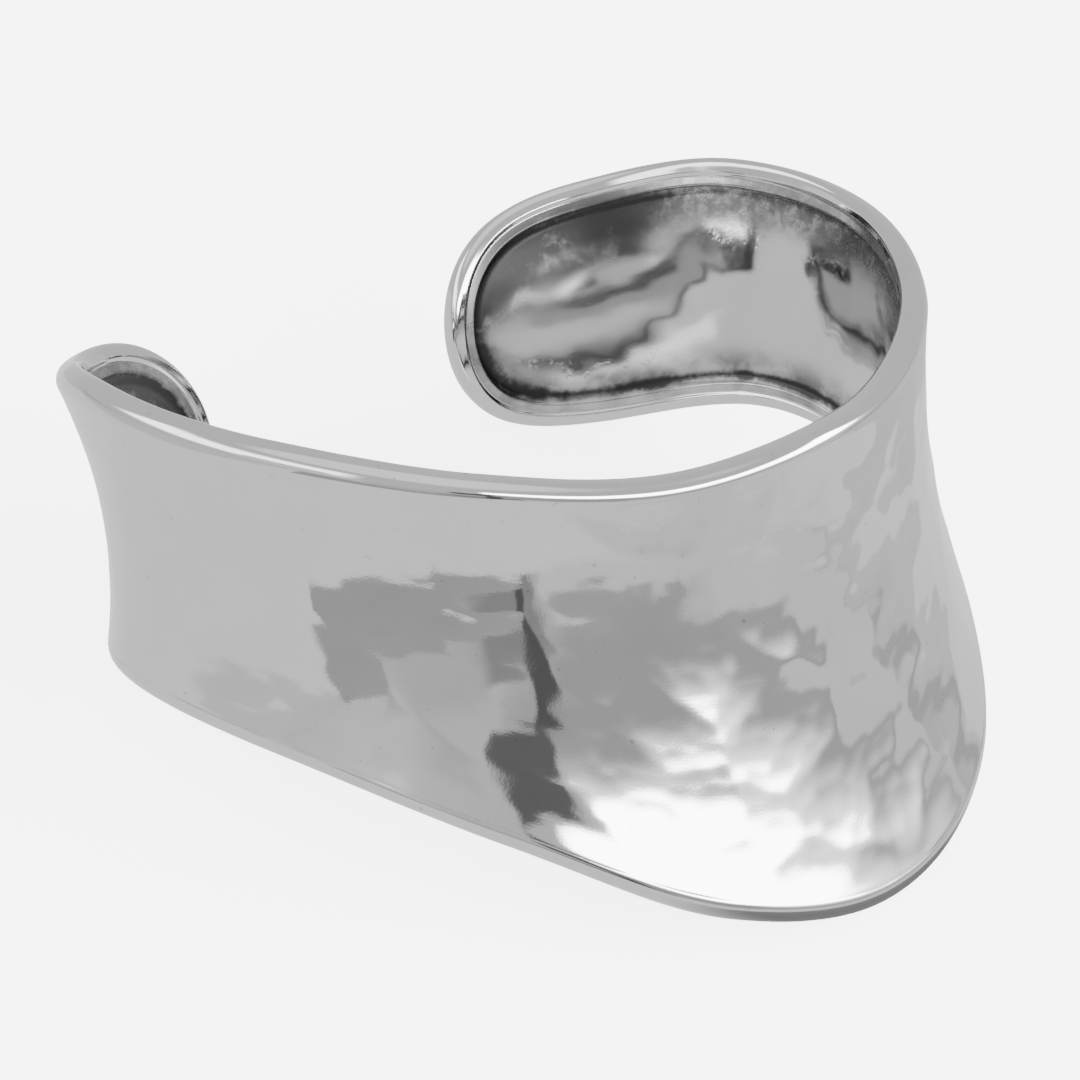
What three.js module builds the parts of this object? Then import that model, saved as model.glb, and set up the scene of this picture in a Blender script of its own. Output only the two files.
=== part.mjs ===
// A cuff bracelet: one band of hammered silver sheet, hollow on its outer face, wide in a lobe at the front
// and open at the back, with a deep rim soldered all the way round its edge.
// It lies on its side as it would by itself, on the foot of the lobe and on the two ends.
// Millimetres, +Z up, with the lobe towards -Y and the opening towards +Y.

import * as THREE from 'three';
import { ParametricGeometry } from 'three/addons/geometries/ParametricGeometry.js';
import { mergeVertices } from 'three/addons/utils/BufferGeometryUtils.js';

// Size of the wrist hollow, measured between the inner faces along the band's middle line
const hollowWidth = 59.6;
const hollowDepth = 43.8;
const openingGap = 23.6;

// Size of the band: its lobe, the depth to which the lobe dips, the lean of its wall in millimetres for each
// millimetre of height, how hollow its outer face is at the front and at the tips, and the length that each
// end takes to round off
const lobeHeight = 29.2;
const lobeDrop = 10;
const wallLean = 0.2;
const faceRadiusFront = 61;
const faceRadiusEnd = 20;
const endRounding = 23.3;

// Size of the sheet, and of the rim round its edge. On the inside the rim has a land, then a lower ledge, and
// then a foot that falls to the sheet.
const sheetThickness = 1.2;
const rimDepth = 1.9;
const rimCorner = 0.85;
const rimLip = 0.55;
const rimLand = 1.05;
const rimLedge = 0.9;
const ledgeDrop = 0.2;
const rimFoot = 0.35;

// Shares that give the plan its egg shape
const planFlattening = 0.038;
const planPinch = 0.021;

// Sections of the band from the middle of the front to the tip of an end. Height is a share of lobeHeight,
// rise of lobeDrop and lean of wallLean. A positive lean carries the lower edge outwards.
const sections = [
  { along: 0, height: 1, rise: -1, lean: 1 },
  { along: 1 / 6, height: 0.895, rise: -0.83, lean: 1.05 },
  { along: 2 / 6, height: 0.745, rise: -0.38, lean: 0.5 },
  { along: 3 / 6, height: 0.65, rise: 0.02, lean: 0.1 },
  { along: 4 / 6, height: 0.625, rise: 0.21, lean: 0 },
  { along: 5 / 6, height: 0.682, rise: 0.09, lean: -0.5 },
  { along: 1, height: 0.89, rise: 0.05, lean: -0.3 },
];

// Facets along each long edge, round each end, round the rim's two corners and from the rim to the middle
const edgeFacets = 48;
const endFacets = 20;
const cornerFacets = 3;
const lipFacets = 2;
const faceFacets = 4;

// Cuts by which the middle line's length is measured, and rounds in which the resting tilt settles
const lengthCuts = 1000;
const tiltRounds = 12;

const up = new THREE.Vector3(0, 0, 1);

// The band's middle line on its outer face: an egg-shaped oval, open at the back
class MiddleLine extends THREE.Curve {
  constructor() {
    super();
    this.halfWidth = hollowWidth / 2 + sheetThickness;
    this.halfDepth = hollowDepth / 2 + sheetThickness;
    this.openAngle = Math.asin(openingGap / 2 / this.halfWidth);
    this.arcLengthDivisions = lengthCuts;
  }

  getPoint(share, target = new THREE.Vector3()) {
    const angle = (2 * share - 1) * (Math.PI - this.openAngle);
    const across = Math.sin(angle) - planPinch * Math.sin(2 * angle);
    const back = -Math.cos(angle) - planFlattening * Math.cos(2 * angle);
    return target.set(this.halfWidth * across, this.halfDepth * back, 0);
  }
}

const middleLine = new MiddleLine();
const halfLength = middleLine.getLength() / 2;
const straightHalf = halfLength - endRounding;

// Smooth values between the sections, level across the middle of the front
const sectionCurve = new THREE.CubicInterpolant(
  sections.map((section) => section.along),
  sections.flatMap((section) => [section.height, section.rise, section.lean]),
  3,
);
sectionCurve.settings = { endingStart: THREE.ZeroSlopeEnding, endingEnd: THREE.ZeroCurvatureEnding };

function sectionAt(station) {
  const along = Math.min(Math.abs(station) / halfLength, 1);
  const [height, rise, lean] = sectionCurve.evaluate(along);
  return {
    halfHeight: (height * lobeHeight) / 2,
    rise: rise * lobeDrop,
    lean: lean * wallLean,
    faceRadius: THREE.MathUtils.lerp(faceRadiusFront, faceRadiusEnd, along),
  };
}

// Where the wall stands at a station along the middle line, and the level direction out of the hollow there
function footAt(station) {
  const share = THREE.MathUtils.clamp(0.5 + station / (2 * halfLength), 0, 1);
  const tangent = middleLine.getTangentAt(share);
  return { point: middleLine.getPointAt(share), outward: tangent.cross(up) };
}

// A point of the outer face, by its station along the band and its height above the middle line
function facePoint(station, height) {
  const { rise, lean, faceRadius } = sectionAt(station);
  const { point, outward } = footAt(station);
  const flare = height ** 2 / (2 * faceRadius) - lean * height;
  return point.addScaledVector(outward, flare).addScaledVector(up, height + rise);
}

// The direction square out of the outer face, from two short steps over it
function faceNormal(station, height) {
  const step = 0.05;
  const along = facePoint(station + step, height).sub(facePoint(station - step, height));
  const upwards = facePoint(station, height + step).sub(facePoint(station, height - step));
  return along.cross(upwards).normalize();
}

// The edge of the band as a closed loop: along the top, round an end, back along the bottom, round the other
const loopFacets = 2 * (edgeFacets + endFacets);

function edgeAt(step) {
  const half = loopFacets / 2;
  const turn = ((step % loopFacets) + loopFacets) % loopFacets;
  const side = turn < half ? 1 : -1;
  const local = turn < half ? turn : turn - half;
  if (local <= edgeFacets) {
    const station = side * (-straightHalf + (2 * straightHalf * local) / edgeFacets);
    return new THREE.Vector2(station, side * sectionAt(station).halfHeight);
  }
  const angle = (Math.PI * (local - edgeFacets)) / endFacets;
  const station = side * (straightHalf + endRounding * Math.sin(angle));
  return new THREE.Vector2(station, side * Math.cos(angle) * sectionAt(station).halfHeight);
}

// One post of the loop: its place on the edge, the way out of the sheet there, and the middle point it faces
function postAt(index) {
  const hop = 0.01;
  const edge = edgeAt(index);
  const ahead = edgeAt(index + hop);
  const behind = edgeAt(index - hop);
  const run = ahead.sub(behind).normalize();
  const station = THREE.MathUtils.clamp(edge.x, -straightHalf, straightHalf);
  return {
    edge,
    out: new THREE.Vector2(-run.y, run.x),
    middle: new THREE.Vector2(station, 0),
    inward: faceNormal(edge.x, edge.y).negate(),
  };
}

const posts = Array.from({ length: loopFacets }, (_, index) => postAt(index));

// The wall's profile, from the middle of the outer face over the rim to the middle of the inner face. Inset is
// measured in from the edge, depth in from the outer face, and middle is the share of the way to the middle.
const rimWidth = rimLand + rimLedge + rimFoot;

function faceSteps(depth) {
  const shares = Array.from({ length: faceFacets }, (_, index) => (index + 1) / faceFacets);
  return shares.map((middle) => ({ middle, inset: rimWidth, depth }));
}

// A quarter round on the rim, from one angle to the next, about a point inside the corner
function roundSteps(radius, depth, facets, start) {
  const angles = Array.from({ length: facets + 1 }, (_, index) => start + (Math.PI / 2) * (index / facets));
  return angles.map((angle) => ({
    middle: 0,
    inset: radius * (1 - Math.sin(angle)),
    depth: depth - radius * Math.cos(angle),
    onRim: true,
  }));
}

const profile = [
  ...faceSteps(0).reverse(),
  { middle: 0, inset: rimWidth, depth: 0 },
  ...roundSteps(rimCorner, rimCorner, cornerFacets, 0),
  ...roundSteps(rimLip, rimDepth - rimLip, lipFacets, Math.PI / 2),
  { middle: 0, inset: rimLand, depth: rimDepth, onRim: true },
  { middle: 0, inset: rimLand + ledgeDrop, depth: rimDepth - ledgeDrop, onRim: true },
  { middle: 0, inset: rimLand + rimLedge, depth: rimDepth - ledgeDrop, onRim: true },
  { middle: 0, inset: rimWidth, depth: sheetThickness },
  ...faceSteps(sheetThickness),
];

// A point of the wall: on the face at the profile's inset, then in by its depth
function wallPoint(post, step) {
  const place = post.edge.clone().addScaledVector(post.out, -step.inset).lerp(post.middle, step.middle);
  const inward = step.onRim ? post.inward : faceNormal(place.x, place.y).negate();
  return facePoint(place.x, place.y).addScaledVector(inward, step.depth);
}

// Joins the loop's seam and both middle lines, and drops the triangles that have shrunk to a line there
function closedSurface(geometry) {
  geometry.deleteAttribute('normal');
  geometry.deleteAttribute('uv');
  const merged = mergeVertices(geometry);
  const corners = Array.from(merged.index.array);
  const kept = [];
  for (let start = 0; start < corners.length; start += 3) {
    const [a, b, c] = corners.slice(start, start + 3);
    if (a !== b && b !== c && c !== a) {
      kept.push(a, b, c);
    }
  }
  merged.setIndex(kept);
  merged.computeVertexNormals();
  return merged;
}

function bandGeometry() {
  const wall = new ParametricGeometry(
    (u, v, target) => {
      const post = posts[Math.round(u * loopFacets) % loopFacets];
      const step = profile[Math.round(v * (profile.length - 1))];
      target.copy(wallPoint(post, step));
    },
    loopFacets,
    profile.length - 1,
  );
  return closedSurface(wall);
}

// The tilt at which the lobe's foot and the two ends touch a level surface together
function restingTilt(geometry) {
  const points = [];
  const places = geometry.getAttribute('position');
  for (let index = 0; index < places.count; index += 1) {
    points.push(new THREE.Vector2(places.getY(index), places.getZ(index)));
  }
  const lowest = (group, tilt) => {
    const height = (point) => point.y * Math.cos(tilt) - point.x * Math.sin(tilt);
    return group.reduce((low, point) => (height(point) < height(low) ? point : low));
  };
  const front = points.filter((point) => point.x < 0);
  const back = points.filter((point) => point.x >= 0);
  let tilt = 0;
  for (let round = 0; round < tiltRounds; round += 1) {
    tilt = lowest(back, tilt).clone().sub(lowest(front, tilt)).angle();
  }
  return tilt;
}

const silver = new THREE.MeshStandardMaterial({ color: 0xc8c8c6, roughness: 0.18, metalness: 1 });

function makeCuff() {
  const geometry = bandGeometry();
  const cuff = new THREE.Mesh(geometry, silver);
  cuff.name = 'cuff';
  cuff.rotation.x = -restingTilt(geometry);
  cuff.updateMatrixWorld();
  const box = new THREE.Box3().setFromObject(cuff, true);
  const centre = box.getCenter(new THREE.Vector3());
  cuff.position.set(-centre.x, -centre.y, -box.min.z);
  return cuff;
}

const group = new THREE.Group();
group.add(makeCuff());

export default group;
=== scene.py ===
"""A cuff bracelet of polished, softly hammered silver on a pale studio floor."""

import math
from bisect import bisect_right
from collections import namedtuple

import bmesh
import bpy
from bpy.props import FloatProperty, FloatVectorProperty, IntProperty, PointerProperty
from mathutils import Matrix, Vector, noise


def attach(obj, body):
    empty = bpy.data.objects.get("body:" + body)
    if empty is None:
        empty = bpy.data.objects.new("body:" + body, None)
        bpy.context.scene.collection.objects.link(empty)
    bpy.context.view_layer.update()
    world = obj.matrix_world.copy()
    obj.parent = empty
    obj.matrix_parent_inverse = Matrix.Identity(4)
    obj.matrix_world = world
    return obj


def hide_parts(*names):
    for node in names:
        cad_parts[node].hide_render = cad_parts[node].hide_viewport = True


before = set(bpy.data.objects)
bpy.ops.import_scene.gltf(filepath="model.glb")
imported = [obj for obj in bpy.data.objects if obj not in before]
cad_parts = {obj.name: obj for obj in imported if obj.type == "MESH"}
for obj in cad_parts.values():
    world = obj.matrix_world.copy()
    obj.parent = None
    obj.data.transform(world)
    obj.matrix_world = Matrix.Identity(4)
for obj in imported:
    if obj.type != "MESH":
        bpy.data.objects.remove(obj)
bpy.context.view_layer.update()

bl_info = {
    "name": "Hammered Cuff",
    "version": (1, 0, 0),
    "blender": (4, 5, 0),
    "location": "View3D > Sidebar > Cuff",
    "description": "Builds a hammered silver cuff bracelet and the studio that it is shown in",
    "category": "Add Mesh",
}

MILLIMETRE = 0.001
UP = Vector((0.0, 0.0, 1.0))

# Sections of the band from the middle of the front to the tip of an end. Height is a share of the lobe's
# height, rise of its drop and lean of the wall's lean. A positive lean carries the lower edge outwards.
Section = namedtuple("Section", "height rise lean")
SECTIONS = (
    Section(height=1.0, rise=-1.0, lean=1.0),
    Section(height=0.895, rise=-0.83, lean=1.05),
    Section(height=0.745, rise=-0.38, lean=0.5),
    Section(height=0.65, rise=0.02, lean=0.1),
    Section(height=0.625, rise=0.21, lean=0.0),
    Section(height=0.682, rise=0.09, lean=-0.5),
    Section(height=0.89, rise=0.05, lean=-0.3),
)

# One row of the wall's profile. Inset is measured in from the edge, depth in from the outer face, and middle
# is the share of the way on to the band's middle line. Relief names how the surface is worked there, groove
# is how far it is darkened by dirt and by painted shade in the rim's creases, and recess how far it belongs
# to the recessed lining.
Step = namedtuple("Step", "middle inset depth on_rim relief groove recess", defaults=(0.0, 0.0))

# What leads up to each line of the rim: its rows of faces, and the groove and recess that the line has
Lead = namedtuple("Lead", "rows groove recess", defaults=(0.0, 0.0))
# The groove values darken the rim's groove, ledge and foot: dirt, and painted shade in the creases.
TO_BRINK = Lead(rows=6)
TO_GROOVE = Lead(rows=2, groove=0.7)
TO_CORNER = Lead(rows=2)
TO_LIP = Lead(rows=3)
TO_LAND = Lead(rows=4)
TO_LEDGE = Lead(rows=3, groove=0.45)
TO_LEDGE_FLOOR = Lead(rows=1, groove=0.45, recess=0.7)
TO_LEDGE_END = Lead(rows=4, groove=0.1, recess=0.8)
TO_FOOT_TOP = Lead(rows=2, groove=0.6, recess=0.85)
TO_FOOT = Lead(rows=3, groove=1.0, recess=1.0)
CORNER_ROWS = 9
LIP_ROWS = 6

# How far the ledge's step runs in and its far side rises, in drops of the ledge, and the share of the way to
# the middle over which the dirt and painted shade at the lining's edge fade
LEDGE_RUN = 1.5
LEDGE_RISE = 0.7
DIRT_AND_SHADE_FADE = 1 / 9

# How finely the plan is cut to measure its length, how far a post and a normal look to either side, how
# often the resting tilt is refined, and how near to each other points are joined
PLAN_CUTS = 4000
POST_HOP = 0.05
FACE_HOP = 0.05 * MILLIMETRE
TILT_ROUNDS = 8
MERGE_DISTANCE = 0.0005 * MILLIMETRE
CENTIMETRES = 100

# The hammered face: how softly two dishes meet, their mean height, and the long swell under the blows
DISH_SOFTNESS = 0.10
DISH_MEAN = 0.16
SWELL_SPREAD = 0.4
SWELL_SHARE = 0.35

# How hard the face is worked at the left station and at the right one
LIGHT_WORK = 0.45
LIGHT_STATION = -45 * MILLIMETRE
FULL_WORK = 1.25
FULL_STATION = -5 * MILLIMETRE

# Where the face's and the lining's work fades out beside the rim, the finer waves in each swell, and what is
# added to the seed for each kind of work
FACE_FADE = 2.8 * MILLIMETRE
LINING_FADE = 1.5 * MILLIMETRE
FINE_WAVES = 2.7
FINE_SHARE = 0.35
TAP_SEED = 5.0
LINING_SEED = 9.0
RIM_SEED = 17.0

LAYERS = ("station", "height", "inset", "groove", "recess")


def length(name, description, default):
    return FloatProperty(name=name, description=description, default=default, unit="LENGTH", precision=5)


def share(name, description, default):
    return FloatProperty(name=name, description=description, default=default, min=0.0, max=1.0)


def angle(name, description, degrees):
    return FloatProperty(name=name, description=description, default=math.radians(degrees), subtype="ANGLE")


def count(name, description, default, least):
    return IntProperty(name=name, description=description, default=default, min=least)


def colour(name, description, default):
    return FloatVectorProperty(name=name, description=description, default=default, subtype="COLOR", size=3)


class CuffBandSizes(bpy.types.PropertyGroup):
    hollow_width: length("Hollow width", "Width of the wrist hollow between the inner faces", 0.0596)
    hollow_depth: length("Hollow depth", "Depth of the wrist hollow from front to back", 0.0438)
    opening_gap: length("Opening", "Width of the opening between the two ends", 0.0236)
    lobe_height: length("Lobe height", "Height of the band at the middle of the front", 0.0292)
    lobe_drop: length("Lobe drop", "How far the middle line dips at the front", 0.010)
    wall_lean: share("Wall lean", "Outward lean of the wall for each unit of height", 0.2)
    face_radius_front: length("Face radius, front", "Radius of the hollow outer face at the front", 0.061)
    face_radius_end: length("Face radius, ends", "Radius of the hollow outer face at the tips", 0.020)
    end_rounding: length("End rounding", "Length over which each end rounds off", 0.0233)
    flattening: share("Flattening", "Share that flattens the front of the plan", 0.038)
    pinch: share("Pinch", "Share that narrows the front of the plan", 0.021)


class CuffRimSizes(bpy.types.PropertyGroup):
    sheet: length("Sheet", "Thickness of the hammered sheet", 0.0012)
    depth: length("Rim depth", "Depth of the rim from the outer face", 0.0019)
    corner: length("Outer corner", "Radius of the rim's outer corner", 0.00092)
    lip: length("Lip", "Radius of the rim's inner corner", 0.00055)
    land: length("Land", "Width of the rim's inner land", 0.00105)
    ledge: length("Ledge", "Width of the lower ledge inside the land", 0.0009)
    ledge_drop: length("Ledge drop", "How far the ledge lies below the land", 0.0002)
    foot: length("Foot", "Width over which the ledge falls to the sheet", 0.00035)
    groove_width: length("Groove width", "Width of the fine groove between face and rim", 0.00022)
    groove_depth: length("Groove depth", "Depth of the fine groove between face and rim", 0.000003)


class CuffHammerSizes(bpy.types.PropertyGroup):
    dent_size: length("Dent size", "Distance between the hammer's blows", 0.0052)
    dent_depth: length("Dent depth", "Depth that one blow leaves over its own width", 0.00018)
    tap_size: length("Tap size", "Distance between the lighter finishing taps", 0.0017)
    tap_depth: length("Tap depth", "Depth that a finishing tap leaves over its own width", 0.000024)
    lining_size: length("Lining swell", "Size of the soft swells of the lining", 0.0045)
    lining_depth: length("Lining depth", "Depth of the soft swells of the lining", 0.00008)
    rim_size: length("Rim waver", "Length of the slight waver of the rim", 0.0060)
    rim_depth: length("Rim waver depth", "Depth of the slight waver of the rim", 0.000018)
    seed: FloatProperty(name="Seed", description="Moves the pattern of dents", default=3.7)


class CuffMeshDetail(bpy.types.PropertyGroup):
    edge_steps: count("Edge steps", "Faces along each long edge", 286, 24)
    end_steps: count("End steps", "Faces round each end", 70, 12)
    face_steps: count("Face steps", "Faces from the rim to the middle on the outside", 46, 4)
    lining_steps: count("Lining steps", "Faces from the rim to the middle on the inside", 36, 4)


class CuffFinish(bpy.types.PropertyGroup):
    silver: colour("Silver", "Colour of the polished silver", (0.58, 0.58, 0.58))
    tarnish: colour("Tarnish", "Colour of the dark tarnish in the recess", (0.035, 0.035, 0.035))
    polish: share("Polish", "Roughness of the polished outside", 0.045)
    lining: share("Lining roughness", "Roughness of the recessed lining", 0.10)


class CuffStage(bpy.types.PropertyGroup):
    floor_size: length("Floor size", "Side of the square floor", 3.0)
    floor_colour: colour("Floor", "Colour of the pale floor", (0.93, 0.93, 0.93))
    floor_glow: FloatProperty(name="Floor glow", description="Light that the floor gives of itself",
                              default=5.0, min=0.0)
    sheet_tone: share("Sheet tone", "Brightness of the sheet that the silver mirrors", 0.235)
    azimuth: angle("Azimuth", "Direction of view", -56.17)
    elevation: angle("Elevation", "Height of view", 34.6)
    roll: angle("Roll", "Turn of the picture", 14.76)
    distance: length("Distance", "Distance from the camera to its aim", 0.1781)
    aim: FloatVectorProperty(name="Aim", description="Point that the camera faces", subtype="TRANSLATION",
                             default=(-0.00211, 0.00341, 0.00836), unit="LENGTH", size=3)
    lens: FloatProperty(name="Lens", description="Focal length in millimetres", default=89.9)


def even(count):
    """Shares from just above 0 up to 1."""
    return [(index + 1) / count for index in range(count)]


def between(low, high, part):
    return low + (high - low) * part


def smooth(low, high, value):
    part = min(max((value - low) / (high - low), 0.0), 1.0)
    return part * part * (3.0 - 2.0 * part)


def through(values, part):
    """A smooth curve through evenly spaced values, level where it starts."""
    last = len(values) - 1
    place = min(part, 1.0) * last
    index = min(int(place), last - 1)
    local = place - index
    start, end = values[index], values[index + 1]
    before = values[index - 1] if index > 0 else end
    after = values[index + 2] if index + 2 <= last else 2.0 * end - start
    slope_in, slope_out = (end - before) / 2.0, (after - start) / 2.0
    square, cube = local ** 2, local ** 3
    return ((2 * cube - 3 * square + 1) * start + (cube - 2 * square + local) * slope_in
            + (3 * square - 2 * cube) * end + (cube - square) * slope_out)


class BandShape:
    """The band's outer face by station along its middle line and height above it, and its outline."""

    def __init__(self, band, rim, detail):
        self.band = band
        self.half_width = band.hollow_width / 2 + rim.sheet
        self.half_depth = band.hollow_depth / 2 + rim.sheet
        self.edge_steps = detail.edge_steps
        self.end_steps = detail.end_steps
        self.loop_steps = 2 * (detail.edge_steps + detail.end_steps)
        open_angle = math.asin(band.opening_gap / 2 / self.half_width)
        reach = math.pi - open_angle
        self.angles = [reach * (2 * index / PLAN_CUTS - 1) for index in range(PLAN_CUTS + 1)]
        points = [self.plan(angle) for angle in self.angles]
        self.lengths = [0.0]
        for start, end in zip(points, points[1:]):
            self.lengths.append(self.lengths[-1] + (end - start).length)
        self.half_length = self.lengths[-1] / 2
        self.straight = self.half_length - band.end_rounding
        self.heights, self.rises, self.leans = zip(*SECTIONS)

    def plan(self, angle):
        across = math.sin(angle) - self.band.pinch * math.sin(2 * angle)
        back = -math.cos(angle) - self.band.flattening * math.cos(2 * angle)
        return Vector((self.half_width * across, self.half_depth * back, 0.0))

    def foot(self, station):
        """Where the wall stands at a station, and the level way out of the hollow there."""
        run = min(max(station + self.half_length, 0.0), self.lengths[-1])
        index = min(bisect_right(self.lengths, run), len(self.lengths) - 1)
        part = (run - self.lengths[index - 1]) / (self.lengths[index] - self.lengths[index - 1])
        angle = between(self.angles[index - 1], self.angles[index], part)
        across = self.half_width * (math.cos(angle) - 2 * self.band.pinch * math.cos(2 * angle))
        back = self.half_depth * (math.sin(angle) + 2 * self.band.flattening * math.sin(2 * angle))
        return self.plan(angle), Vector((back, -across, 0.0)).normalized()

    def half_height(self, station):
        return through(self.heights, abs(station) / self.half_length) * self.band.lobe_height / 2

    def face(self, station, height):
        """A point of the outer face."""
        along = min(abs(station) / self.half_length, 1.0)
        rise = through(self.rises, along) * self.band.lobe_drop
        lean = through(self.leans, along) * self.band.wall_lean
        radius = between(self.band.face_radius_front, self.band.face_radius_end, along)
        point, outward = self.foot(station)
        flare = height ** 2 / (2 * radius) - lean * height
        return point + outward * flare + UP * (height + rise)

    def inward(self, station, height):
        """The way square into the sheet from the outer face."""
        along = self.face(station + FACE_HOP, height) - self.face(station - FACE_HOP, height)
        upwards = self.face(station, height + FACE_HOP) - self.face(station, height - FACE_HOP)
        return upwards.cross(along).normalized()

    def edge(self, place):
        """The outline by its steps: along the top, round an end, back along the bottom, round the other."""
        half = self.loop_steps / 2
        turn = place % self.loop_steps
        side = 1.0 if turn < half else -1.0
        local = turn if turn < half else turn - half
        if local <= self.edge_steps:
            station = side * self.straight * (2 * local / self.edge_steps - 1)
            return Vector((station, side * self.half_height(station)))
        angle = math.pi * (local - self.edge_steps) / self.end_steps
        station = side * (self.straight + self.band.end_rounding * math.sin(angle))
        return Vector((station, side * math.cos(angle) * self.half_height(station)))

    def post(self, index):
        """One post of the outline: its place, the way out of the sheet, its middle point and the way in."""
        edge = self.edge(index)
        run = (self.edge(index + POST_HOP) - self.edge(index - POST_HOP)).normalized()
        middle = Vector((min(max(edge.x, -self.straight), self.straight), 0.0))
        return edge, Vector((-run.y, run.x)), middle, self.inward(*edge)


def round_corner(radius, depth, rows, start):
    """A quarter round of the rim that turns from one angle to the next."""
    turns = [start + math.pi / 2 * index / rows for index in range(rows + 1)]
    return [
        Step(middle=0.0, inset=radius * (1 - math.sin(turn)), depth=depth - radius * math.cos(turn),
             on_rim=True, relief="rim")
        for turn in turns
    ]


def straight_run(start, end, number):
    """Even steps from one row of the profile to another, without the first and with the last."""
    rows = []
    for part in even(number):
        rows.append(end._replace(
            inset=between(start.inset, end.inset, part),
            depth=between(start.depth, end.depth, part),
            groove=between(start.groove, end.groove, part),
            recess=between(start.recess, end.recess, part),
        ))
    return rows


def lead_on(rows, line, lead):
    """Adds even steps from the last row to the next line of the rim."""
    rows += straight_run(rows[-1], line._replace(groove=lead.groove, recess=lead.recess), lead.rows)


def wall_profile(rim, detail):
    """The rows of the wall, from the middle of the outer face over the rim to the middle of the lining."""
    width = rim.land + rim.ledge + rim.foot
    face_edge = Step(middle=0.0, inset=width, depth=0.0, on_rim=False, relief="face")
    brink = face_edge._replace(inset=rim.corner + rim.groove_width)
    groove = brink._replace(inset=rim.corner + rim.groove_width / 2, depth=rim.groove_depth, on_rim=True)
    corner = round_corner(rim.corner, rim.corner, CORNER_ROWS, 0.0)
    lip = round_corner(rim.lip, rim.depth - rim.lip, LIP_ROWS, math.pi / 2)
    land = lip[-1]._replace(inset=rim.land)
    ledge = land._replace(inset=rim.land + rim.ledge_drop, depth=rim.depth - rim.ledge_drop)
    ledge_floor = ledge._replace(inset=rim.land + LEDGE_RUN * rim.ledge_drop)
    ledge_end = ledge._replace(inset=rim.land + rim.ledge, depth=rim.depth - LEDGE_RISE * rim.ledge_drop)
    foot_top = ledge._replace(inset=rim.land + rim.ledge + rim.foot / 4,
                              depth=rim.depth - 2 * rim.ledge_drop)
    foot = Step(middle=0.0, inset=width, depth=rim.sheet, on_rim=False, relief="lining", recess=1.0)

    rows = [face_edge._replace(middle=part) for part in reversed(even(detail.face_steps))]
    rows.append(face_edge)
    lead_on(rows, brink, TO_BRINK)
    lead_on(rows, groove, TO_GROOVE)
    lead_on(rows, corner[0], TO_CORNER)
    rows += corner[1:]
    lead_on(rows, lip[0], TO_LIP)
    rows += lip[1:]
    lead_on(rows, land, TO_LAND)
    lead_on(rows, ledge, TO_LEDGE)
    lead_on(rows, ledge_floor, TO_LEDGE_FLOOR)
    lead_on(rows, ledge_end, TO_LEDGE_END)
    lead_on(rows, foot_top, TO_FOOT_TOP)
    lead_on(rows, foot, TO_FOOT)
    # The lining's edge is darkened by dirt and painted crease shade, fading towards the middle
    for part in even(detail.lining_steps):
        rows.append(foot._replace(middle=part, groove=max(0.0, 1.0 - part / DIRT_AND_SHADE_FADE)))
    return rows


def soft_least(first, second, softness):
    """The smaller of two values, rounded where they meet."""
    overlap = max(softness - abs(first - second), 0.0) / softness
    return min(first, second) - overlap ** 2 * softness / 4


def dishes(place, size, seed):
    """Overlapping shallow dishes with softened ridges, one for each blow of the hammer."""
    near = noise.voronoi(Vector((place.x / size, place.y / size, seed)))[0]
    return soft_least(near[0] ** 2, near[1] ** 2, DISH_SOFTNESS) - DISH_MEAN


def dents(place, hammer):
    """Height of the hammered face: deep blows, lighter taps over them, and a long swell under both."""
    spot = Vector((place.x / hammer.dent_size, place.y / hammer.dent_size, hammer.seed))
    swell = noise.noise(spot * SWELL_SPREAD)
    worked = between(LIGHT_WORK, FULL_WORK, smooth(LIGHT_STATION, FULL_STATION, place.x))
    blows = dishes(place, hammer.dent_size, hammer.seed) + SWELL_SHARE * swell
    taps = dishes(place, hammer.tap_size, hammer.seed + TAP_SEED)
    return worked * (hammer.dent_depth * blows + hammer.tap_depth * taps)


def swells(place, size, depth, seed):
    """Height of a softly uneven surface, with finer waves on the broad ones."""
    spot = Vector((place.x / size, place.y / size, seed))
    return depth * (noise.noise(spot) + FINE_SHARE * noise.noise(spot * FINE_WAVES))


def relief_height(kind, place, from_edge, hammer, rim):
    """How far the worked surface stands out from the plain one."""
    if kind == "face":
        return dents(place, hammer) * smooth(rim.corner, rim.corner + FACE_FADE, from_edge)
    if kind == "lining":
        rim_end = rim.land + rim.ledge
        fade = smooth(rim_end, rim_end + LINING_FADE, from_edge)
        return swells(place, hammer.lining_size, hammer.lining_depth, hammer.seed + LINING_SEED) * fade
    return swells(place, hammer.rim_size, hammer.rim_depth, hammer.seed + RIM_SEED)


def resting_tilt(points):
    """The tilt at which the lobe's foot and the two ends touch a level surface together."""
    front = [(point.y, point.z) for point in points if point.y < 0.0]
    back = [(point.y, point.z) for point in points if point.y >= 0.0]
    tilt = 0.0
    for _ in range(TILT_ROUNDS):
        across, upright = math.sin(tilt), math.cos(tilt)
        fore = min(front, key=lambda point: point[1] * upright - point[0] * across)
        rear = min(back, key=lambda point: point[1] * upright - point[0] * across)
        tilt = math.atan2(rear[1] - fore[1], rear[0] - fore[0])
    return tilt


def lay_down(mesh):
    """Turns the cuff from its upright frame to how it lies, and sets it on the floor about the origin."""
    tilt = resting_tilt([vert.co for vert in mesh.verts])
    bmesh.ops.rotate(mesh, verts=mesh.verts, cent=(0, 0, 0), matrix=Matrix.Rotation(-tilt, 3, "X"))
    low = Vector([min(vert.co[axis] for vert in mesh.verts) for axis in range(3)])
    high = Vector([max(vert.co[axis] for vert in mesh.verts) for axis in range(3)])
    middle = (low + high) / 2
    bmesh.ops.translate(mesh, verts=mesh.verts, vec=(-middle.x, -middle.y, -low.z))


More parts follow.
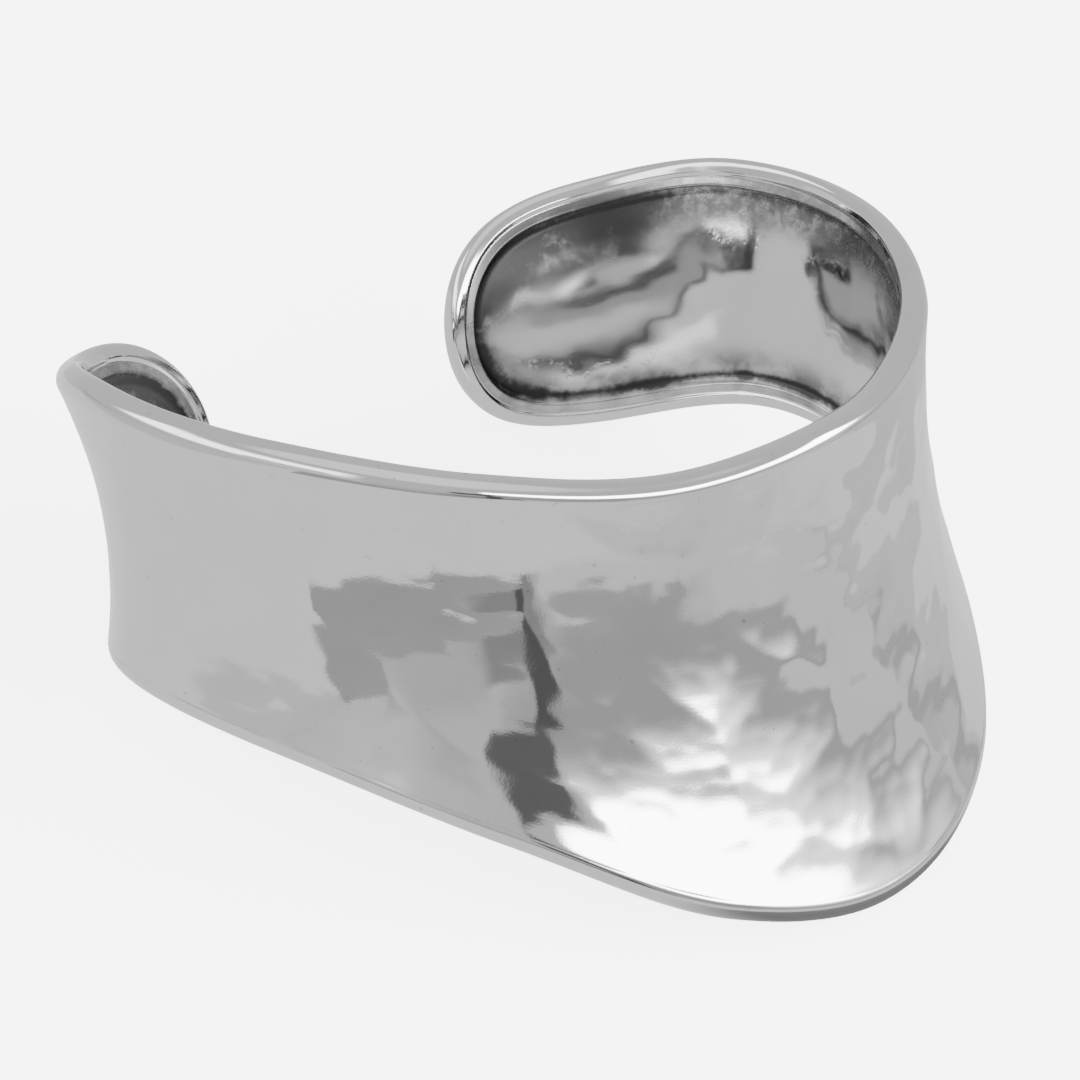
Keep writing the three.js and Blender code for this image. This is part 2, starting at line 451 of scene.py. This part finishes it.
def roll_wall(mesh, shape, rows):
    """Wraps a flat grid round the outline, one column for each post and one row for each profile step."""
    layers = {name: mesh.verts.layers.float.new(name) for name in LAYERS}
    kinds = mesh.verts.layers.int.new("kind")
    posts = [shape.post(index) for index in range(shape.loop_steps)]
    for vert in mesh.verts:
        column = round((vert.co.x + 1.0) / 2 * shape.loop_steps)
        number = round((vert.co.y + 1.0) / 2 * (len(rows) - 1))
        edge, out, middle, way_in = posts[column % shape.loop_steps]
        step = rows[number]
        place = (edge - out * step.inset).lerp(middle, step.middle)
        point = shape.face(*place)
        if step.depth:
            inward = way_in if step.on_rim else shape.inward(*place)
            point += inward * step.depth
        vert.co = point
        vert[layers["station"]], vert[layers["height"]] = place
        vert[layers["inset"]] = (edge - place).length
        vert[layers["groove"]] = step.groove
        vert[layers["recess"]] = step.recess
        vert[kinds] = number
    return layers, kinds


def hammer_wall(mesh, layers, kinds, rows, hammer, rim):
    """Moves each point of the plain wall by the height of its relief."""
    mesh.normal_update()
    moves = []
    for vert in mesh.verts:
        place = Vector((vert[layers["station"]], vert[layers["height"]]))
        kind = rows[vert[kinds]].relief
        moves.append(vert.normal * relief_height(kind, place, vert[layers["inset"]], hammer, rim))
    for vert, move in zip(mesh.verts, moves):
        vert.co += move


def unroll_map(mesh, layers):
    """A map of the wall laid flat at its real size, in centimetres."""
    flat = mesh.loops.layers.uv.new("unrolled")
    for face in mesh.faces:
        for corner in face.loops:
            vert = corner.vert
            corner[flat].uv = (vert[layers["station"]] * CENTIMETRES, vert[layers["height"]] * CENTIMETRES)


def band_object(shape, rows, hammer, rim):
    mesh = bmesh.new()
    bmesh.ops.create_grid(mesh, x_segments=shape.loop_steps, y_segments=len(rows) - 1, size=1.0)
    layers, kinds = roll_wall(mesh, shape, rows)
    bmesh.ops.remove_doubles(mesh, verts=mesh.verts, dist=MERGE_DISTANCE)
    bmesh.ops.recalc_face_normals(mesh, faces=mesh.faces)
    hammer_wall(mesh, layers, kinds, rows, hammer, rim)
    lay_down(mesh)
    unroll_map(mesh, layers)
    data = bpy.data.meshes.new("silver_band")
    mesh.to_mesh(data)
    mesh.free()
    data.shade_smooth()
    piece = bpy.data.objects.new("silver_band", data)
    bpy.context.collection.objects.link(piece)
    return piece


class Wire:
    """One shader socket. Arithmetic on it adds Math nodes."""

    def __init__(self, tree, socket):
        self.tree = tree
        self.socket = socket

    def __add__(self, other):
        return add_maths(self.tree, "ADD", self, other)

    def __sub__(self, other):
        return add_maths(self.tree, "SUBTRACT", self, other)

    def __rsub__(self, other):
        return add_maths(self.tree, "SUBTRACT", other, self)

    def __mul__(self, other):
        return add_maths(self.tree, "MULTIPLY", self, other)

    __radd__ = __add__
    __rmul__ = __mul__


def plug(tree, socket, value):
    if isinstance(value, Wire):
        tree.links.new(value.socket, socket)
    else:
        socket.default_value = value


def add_maths(tree, operation, *values):
    """One Math node over wires and plain numbers."""
    node = tree.nodes.new("ShaderNodeMath")
    node.operation = operation
    for socket, value in zip(node.inputs, values):
        plug(tree, socket, value)
    return Wire(tree, node.outputs[0])


class Board:
    """A node tree, with one method that adds any node."""

    def __init__(self, tree):
        self.tree = tree
        tree.nodes.clear()

    def node(self, kind, settings=None, inputs=None, output=0):
        node = self.tree.nodes.new(kind)
        for name, value in (settings or {}).items():
            setattr(node, name, value)
        for name, value in (inputs or {}).items():
            plug(self.tree, node.inputs[name], value)
        return Wire(self.tree, node.outputs[output]) if node.outputs else node

    def maths(self, operation, *values):
        return add_maths(self.tree, operation, *values)

    def place(self):
        """Where a point lies on its object, in metres."""
        return self.node("ShaderNodeTexCoord", output="Object")

    def attribute(self, name):
        return self.node("ShaderNodeAttribute", {"attribute_name": name}, output="Fac")

    def axes(self, vector):
        """The three parts of a vector."""
        parts = self.node("ShaderNodeSeparateXYZ", inputs={"Vector": vector}).socket.node
        return [Wire(self.tree, socket) for socket in parts.outputs]

    def across(self, operation, first, second):
        """A number from two vectors, such as their distance."""
        vectors = {0: first, 1: second}
        return self.node("ShaderNodeVectorMath", {"operation": operation}, vectors, output="Value")

    def noise(self, place, texture):
        return self.node("ShaderNodeTexNoise", inputs={
            "Vector": place,
            "Scale": texture.scale,
            "Detail": texture.detail,
            "Roughness": texture.roughness,
        })

    def ramp(self, value, low, high, bottom=0.0, top=1.0):
        """A smooth rise from bottom to top as a value goes from low to high."""
        return self.node("ShaderNodeMapRange", {"interpolation_type": "SMOOTHSTEP", "clamp": True}, {
            "Value": value,
            "From Min": low,
            "From Max": high,
            "To Min": bottom,
            "To Max": top,
        })

    def mix(self, factor, first, second):
        """A mix of two colours. The node's colour sockets are the seventh and the eighth."""
        return self.node("ShaderNodeMix", {"data_type": "RGBA"}, {0: factor, 6: first, 7: second}, output=2)


def opaque(rgb):
    return (rgb[0], rgb[1], rgb[2], 1.0)


# Noise over the silver, in cells to the metre, and for the wear lines in cells to the unrolled centimetre
Texture = namedtuple("Texture", "scale detail roughness", defaults=(0.5,))
CLOUDS = Texture(scale=210.0, detail=4.0, roughness=0.6)
MOTTLE = Texture(scale=1300.0, detail=5.0, roughness=0.7)
GRAIN = Texture(scale=5200.0, detail=2.0)
SPECKS = Texture(scale=1900.0, detail=1.0)
LINES = Texture(scale=6.0, detail=3.0, roughness=0.6)
LINE_STRETCH = (0.8, 14.0, 1.0)

# Stains of tarnish on the lining, and last a darkening of the whole lining at the left end. Each lies in the
# upper half, the lower half or both. It fills out, clear to full, between two insets from the edge and
# between two stations along the band, in millimetres. It covers the share least, and up to patchy more where
# its pattern is full.
Stain = namedtuple("Stain", "half inset station pattern least patchy")
STAINS = (
    Stain(half="upper", inset=(6.2, 3.0), station=None, pattern="spots", least=0.42, patchy=0.25),
    Stain(half="lower", inset=(6.2, 2.4), station=None, pattern="clouds", least=0.35, patchy=0.4),
    Stain(half="upper", inset=(12.0, 8.0), station=(51, 58), pattern="clouds", least=0.66, patchy=0.22),
    Stain(half="upper", inset=(7.0, 4.2), station=(52, 60), pattern="blots", least=0.0, patchy=0.9),
    # Darkens the whole lining at the left end
    Stain(half="both", inset=None, station=(-53, -62), pattern="spots", least=0.62, patchy=0.25),
)
HALF_SPREAD = (-1, 3)
PATTERN_SPREAD = (0.36, 0.60)
BLOT_SPREAD = (0.46, 0.60)
BLOT_MOTTLE = 0.3

# Dirt and painted shade in the rim's grooves and creases: how the mottle breaks it up, how much less of it
# the upper half has and how much more the left end, and how dark it is
DIRT_AND_SHADE_BODY = 0.45
DIRT_AND_SHADE_SPREAD = (0.25, 0.95)
DIRT_AND_SHADE_UPPER_LOSS = 0.75
DIRT_AND_SHADE_END_GAIN = 0.7
DIRT_AND_SHADE_END = (-45, -60)
DIRT_AND_SHADE_DARKNESS = 0.45
DARKENED_ROUGHNESS = 0.32

# Patina: the tone that it takes the silver to, and its share in the lining, in clouds and in mottle
PATINA_TONE = 0.72
PATINA_LINING = 0.5
PATINA_CLOUDS = 0.24
PATINA_MOTTLE = 0.12
CLOUD_SPREAD = (0.3, 0.8)
SPECK_SPREAD = (0.74, 0.82)

# Wear: how much the lines and the mottle change the gloss, and the bumps of grain, lines and pits
GLOSS_WEAR = 0.02
GRAIN_BUMP = 0.10
LINE_BUMP = 0.05
PIT_BUMP = 1.2
PIT_SPREAD = (0.30, 0.46)
PIT_INSET = (7.5, 3.0)
BUMP_STRENGTH = 0.05
BUMP_DISTANCE = 0.2 * MILLIMETRE


def metres(pair):
    """Two lengths in millimetres as metres."""
    return [value * MILLIMETRE for value in pair]


def stain_cover(board, inset, station, halves, patterns):
    """How much of the lining the stains cover together."""
    clean = 1.0
    for stain in STAINS:
        cover = (stain.least + patterns[stain.pattern] * stain.patchy) * halves[stain.half]
        if stain.inset:
            cover = cover * board.ramp(inset, *metres(stain.inset))
        if stain.station:
            cover = cover * board.ramp(station, *metres(stain.station))
        clean = clean * (1.0 - cover)
    return 1.0 - clean


def silver_material(finish):
    """Polished silver: wear lines outside, and tarnish, clouds and pits in the recess."""
    material = bpy.data.materials.new("polished_silver")
    material.use_nodes = True
    board = Board(material.node_tree)
    place = board.place()
    recess = board.attribute("recess")
    inset = board.attribute("inset")
    station = board.attribute("station")
    upper = board.ramp(board.attribute("height"), *metres(HALF_SPREAD))
    clouds = board.noise(place, CLOUDS)
    mottle = board.noise(place, MOTTLE)
    unrolled = board.node("ShaderNodeUVMap", {"uv_map": "unrolled"})
    stretched = board.node("ShaderNodeMapping", inputs={"Vector": unrolled, "Scale": LINE_STRETCH})
    lines = board.noise(stretched, LINES)

    halves = {"upper": upper, "lower": 1.0 - upper, "both": 1.0}
    patterns = {
        "spots": board.ramp(mottle, *PATTERN_SPREAD),
        "clouds": board.ramp(clouds, *PATTERN_SPREAD),
        "blots": board.ramp(clouds + mottle * BLOT_MOTTLE, *BLOT_SPREAD),
    }
    covered = stain_cover(board, inset, station, halves, patterns)
    # Darkening by dirt and painted shade in the grooves and creases, less on the upper half, more at the
    # left end
    dirt_and_shade_share = 1.0 - upper * DIRT_AND_SHADE_UPPER_LOSS + board.ramp(station, *metres(DIRT_AND_SHADE_END)) * DIRT_AND_SHADE_END_GAIN
    dirt_and_shade = board.ramp(board.attribute("groove") * (mottle + DIRT_AND_SHADE_BODY), *DIRT_AND_SHADE_SPREAD) * dirt_and_shade_share
    dark = board.ramp(recess * covered + dirt_and_shade * DIRT_AND_SHADE_DARKNESS, 0.0, 1.0)

    specks = board.ramp(board.noise(place, SPECKS), *SPECK_SPREAD) * (1.0 - recess)
    patina = (recess * PATINA_LINING + board.ramp(clouds, *CLOUD_SPREAD) * PATINA_CLOUDS
              + mottle * PATINA_MOTTLE + specks)
    bright = board.mix(patina, opaque(finish.silver), opaque(Vector(finish.silver) * PATINA_TONE))
    base = board.mix(dark, bright, opaque(finish.tarnish))

    wear = (lines - 0.5) * GLOSS_WEAR + (mottle - 0.5) * GLOSS_WEAR
    roughness = finish.polish + wear + recess * (finish.lining - finish.polish) + dark * DARKENED_ROUGHNESS
    pits = board.ramp(mottle, *PIT_SPREAD) * recess * board.ramp(inset, *metres(PIT_INSET))
    bumps = board.noise(place, GRAIN) * GRAIN_BUMP + lines * LINE_BUMP + pits * PIT_BUMP
    normal = board.node("ShaderNodeBump", inputs={
        "Strength": BUMP_STRENGTH,
        "Distance": BUMP_DISTANCE,
        "Height": bumps,
    })
    surface = board.node("ShaderNodeBsdfPrincipled", inputs={
        "Base Color": base,
        "Metallic": 1.0,
        "Roughness": roughness,
        "Normal": normal,
    })
    board.node("ShaderNodeOutputMaterial", inputs={"Surface": surface})
    return material


def floor_material(tone, glow):
    """A matt white table that is lit from within."""
    material = bpy.data.materials.new("pale_floor")
    material.use_nodes = True
    board = Board(material.node_tree)
    surface = board.node("ShaderNodeBsdfPrincipled", inputs={
        "Base Color": opaque(tone),
        "Roughness": 0.8,
        "Emission Color": opaque(tone),
        "Emission Strength": glow,
    })
    board.node("ShaderNodeOutputMaterial", inputs={"Surface": surface})
    return material


# Zones of the studio as the silver mirrors them, by bearing from the front (-Y) towards -X and by elevation,
# in degrees. Each zone fades in over its edge, and a later one covers an earlier. Light is its brightness,
# and slope is how far its lower border climbs for each degree of bearing.
Zone = namedtuple("Zone", "left right low high edge light slope", defaults=(0.0,))
STUDIO_BASE = 1.0
STUDIO_ZONES = (
    Zone(left=-190, right=190, low=54, high=120, edge=10, light=1.7),
    Zone(left=-66, right=17, low=-14, high=22, edge=6, light=0.68),
    Zone(left=-64, right=-8, low=-30, high=9, edge=1.5, light=1.2),
    Zone(left=-10, right=15, low=-30, high=5, edge=1.5, light=1.2),
    Zone(left=-84, right=-58, low=-14, high=4, edge=2, light=0.72),
    Zone(left=-80, right=24, low=15, high=42, edge=12, light=4.2, slope=0.13),
    Zone(left=15, right=63, low=-30, high=10, edge=2, light=0.42),
    Zone(left=32, right=62, low=-12, high=17, edge=9, light=0.84),
    Zone(left=50, right=92, low=-4, high=24, edge=9, light=1.15),
    Zone(left=-20, right=36, low=2, high=28, edge=12, light=0.62),
    Zone(left=20, right=27, low=-4, high=16, edge=2, light=0.16),
    Zone(left=22, right=35, low=13, high=26, edge=2, light=0.20),
    Zone(left=56, right=165, low=10, high=46, edge=11, light=5.0),
    Zone(left=62, right=98, low=5, high=25, edge=5, light=1.3),
    Zone(left=-76, right=27, low=23, high=38, edge=4, light=19.0, slope=0.13),
)


def studio_light(board):
    """The light of the studio in each direction."""
    across, along, height = board.axes(board.node("ShaderNodeTexCoord", output="Generated"))
    degrees = math.degrees(1.0)
    bearing = board.maths("ARCTAN2", 0.0 - across, 0.0 - along) * degrees
    elevation = board.maths("ARCSINE", height) * degrees
    light = STUDIO_BASE
    for zone in STUDIO_ZONES:
        level = (board.ramp(bearing, zone.left, zone.left + zone.edge)
                 * board.ramp(bearing, zone.right, zone.right - zone.edge))
        climb = elevation - bearing * zone.slope
        upright = (board.ramp(climb, zone.low, zone.low + zone.edge)
                   * board.ramp(elevation, zone.high, zone.high - zone.edge))
        light = light + (zone.light - light) * level * upright
    return light


def build_world():
    """A studio of soft light panels and shades."""
    world = bpy.data.worlds.new("studio")
    world.use_nodes = True
    board = Board(world.node_tree)
    background = board.node("ShaderNodeBackground", inputs={"Color": studio_light(board), "Strength": 1.0})
    board.node("ShaderNodeOutputWorld", inputs={"Surface": background})
    bpy.context.scene.world = world


def flat_sheet(size):
    mesh = bmesh.new()
    bmesh.ops.create_grid(mesh, x_segments=1, y_segments=1, size=size / 2)
    return mesh


# Borders on the sheet that the silver mirrors: a point of each in millimetres and the way square to it, by
# compass azimuth, towards its far side. Edge is the width over which the tone changes. The two shade borders
# fence a wedge of painted shade, and past the far borders the sheet is darker.
Border = namedtuple("Border", "x y azimuth edge")
SHADE_LEFT = Border(x=-81, y=-13, azimuth=-73, edge=2)
SHADE_TOP = Border(x=-81, y=-13, azimuth=160, edge=2)
FAR_LEFT = Border(x=-72, y=11, azimuth=-24, edge=2)
LEFT_LIMIT = Border(x=-46, y=0, azimuth=-90, edge=22)
FAR_RIGHT = Border(x=100, y=-45, azimuth=50, edge=3)
SHADE_TONE = 0.37
FAR_TONE = 0.74

# Round spots on that sheet, in millimetres: the tone is full within near and fades out at far. The first is
# a painted shadow under the lobe's front, the second painted light inside the wrist hollow.
Spot = namedtuple("Spot", "x y near far tone")
SHADOW_AND_LIGHT_SPOTS = (
    Spot(x=-2, y=-34, near=10, far=21, tone=0.20),
    Spot(x=-1, y=-12, near=11, far=19, tone=2.0),
)


# How far the mirrored sheet lies below the floor
SHEET_DROP = 0.1 * MILLIMETRE


def past(board, place, border):
    """How far a place of the sheet lies past a border: 0 before it and 1 behind it."""
    turn = math.radians(border.azimuth)
    away = Vector((math.sin(turn), math.cos(turn), 0.0))
    point = Vector((border.x, border.y, 0.0)) * MILLIMETRE
    start = away.dot(point)
    return board.ramp(board.across("DOT_PRODUCT", place, away), start, start + border.edge * MILLIMETRE)


def toned(mask, tone):
    """A factor of 1 where a mask is empty and of tone where it is full."""
    return 1.0 - mask * (1.0 - tone)


def sheet_material(tone):
    """The sheet that the silver mirrors: grey, with a wedge of painted shade, darker far borders and round
    spots of painted shadow and painted light.
    """
    material = bpy.data.materials.new("mirrored_sheet")
    material.use_nodes = True
    board = Board(material.node_tree)
    place = board.place()
    # A wedge of painted shade, and the sheet darker past its far borders
    shade = past(board, place, SHADE_LEFT) * past(board, place, SHADE_TOP)
    far_left = past(board, place, FAR_LEFT) * past(board, place, LEFT_LIMIT)
    far_right = past(board, place, FAR_RIGHT)
    level = tone * toned(shade, SHADE_TONE) * toned(far_left, FAR_TONE) * toned(far_right, FAR_TONE)
    # Round spots of painted shadow and painted light
    for spot in SHADOW_AND_LIGHT_SPOTS:
        centre = Vector((spot.x, spot.y, 0.0)) * MILLIMETRE
        reach = board.across("DISTANCE", place, centre)
        level = level * board.ramp(reach, *metres((spot.near, spot.far)), spot.tone, 1.0)
    surface = board.node("ShaderNodeBsdfPrincipled", inputs={"Base Color": level, "Roughness": 0.9})
    board.node("ShaderNodeOutputMaterial", inputs={"Surface": surface})
    return material


def stage_object(name, mesh, material):
    data = bpy.data.meshes.new(name)
    mesh.to_mesh(data)
    mesh.free()
    data.materials.append(material)
    piece = bpy.data.objects.new(name, data)
    bpy.context.collection.objects.link(piece)
    return piece


def build_floor(stage):
    """A lit white table for the eye, and just under it the greyer sheet that the silver mirrors."""
    white = floor_material(stage.floor_colour, stage.floor_glow)
    table = stage_object("floor", flat_sheet(stage.floor_size), white)
    table.visible_glossy = False
    mesh = flat_sheet(stage.floor_size)
    bmesh.ops.translate(mesh, verts=mesh.verts, vec=(0.0, 0.0, -SHEET_DROP))
    sheet = stage_object("mirrored_sheet", mesh, sheet_material(stage.sheet_tone))
    sheet.visible_camera = False
    sheet.visible_diffuse = False
    sheet.visible_shadow = False


SENSOR_WIDTH = 36.0
CLIP_START = 5 * MILLIMETRE


def build_camera(stage):
    """The camera at the photograph's angle, turned about its own line of sight."""
    turn = (Matrix.Rotation(stage.azimuth, 3, "Z") @ Matrix.Rotation(math.pi / 2 - stage.elevation, 3, "X")
            @ Matrix.Rotation(stage.roll, 3, "Z"))
    data = bpy.data.cameras.new("camera")
    data.lens = stage.lens
    data.sensor_width = SENSOR_WIDTH
    data.clip_start = CLIP_START
    camera = bpy.data.objects.new("camera", data)
    stand = Vector(stage.aim) + turn @ Vector((0.0, 0.0, stage.distance))
    camera.matrix_world = Matrix.Translation(stand) @ turn.to_4x4()
    bpy.context.collection.objects.link(camera)
    bpy.context.scene.camera = camera


class CUFF_OT_band(bpy.types.Operator):
    """Build the hammered silver band with its rim and recessed lining"""

    bl_idname = "cuff.band"
    bl_label = "Silver band"

    def execute(self, context):
        scene = context.scene
        shape = BandShape(scene.cuff_band, scene.cuff_rim, scene.cuff_detail)
        rows = wall_profile(scene.cuff_rim, scene.cuff_detail)
        piece = band_object(shape, rows, scene.cuff_hammer, scene.cuff_rim)
        piece.data.materials.append(silver_material(scene.cuff_finish))
        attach(piece, "root")
        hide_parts("cuff")
        return {"FINISHED"}


class CUFF_OT_stage(bpy.types.Operator):
    """Build the pale floor, the soft studio light and the camera"""

    bl_idname = "cuff.stage"
    bl_label = "Studio stage"

    def execute(self, context):
        stage = context.scene.cuff_stage
        build_floor(stage)
        build_world()
        build_camera(stage)
        return {"FINISHED"}


class CUFF_PT_panel(bpy.types.Panel):
    """Every size of the cuff and its stage, and the two operators that build them"""

    bl_idname = "CUFF_PT_panel"
    bl_label = "Hammered Cuff"
    bl_space_type = "VIEW_3D"
    bl_region_type = "UI"
    bl_category = "Cuff"

    def draw(self, context):
        for group_name, kind in GROUPS.items():
            box = self.layout.box()
            for name in kind.__annotations__:
                box.prop(getattr(context.scene, group_name), name)
        self.layout.operator(CUFF_OT_band.bl_idname)
        self.layout.operator(CUFF_OT_stage.bl_idname)


GROUPS = {
    "cuff_band": CuffBandSizes,
    "cuff_rim": CuffRimSizes,
    "cuff_hammer": CuffHammerSizes,
    "cuff_detail": CuffMeshDetail,
    "cuff_finish": CuffFinish,
    "cuff_stage": CuffStage,
}
CLASSES = (*GROUPS.values(), CUFF_OT_band, CUFF_OT_stage, CUFF_PT_panel)


def register():
    for item in CLASSES:
        bpy.utils.register_class(item)
    for name, group in GROUPS.items():
        setattr(bpy.types.Scene, name, PointerProperty(type=group))


def unregister():
    for name in GROUPS:
        delattr(bpy.types.Scene, name)
    for item in reversed(CLASSES):
        bpy.utils.unregister_class(item)


def main():
    register()
    bpy.ops.cuff.stage()
    bpy.ops.cuff.band()


if __name__ == "__main__":
    main()
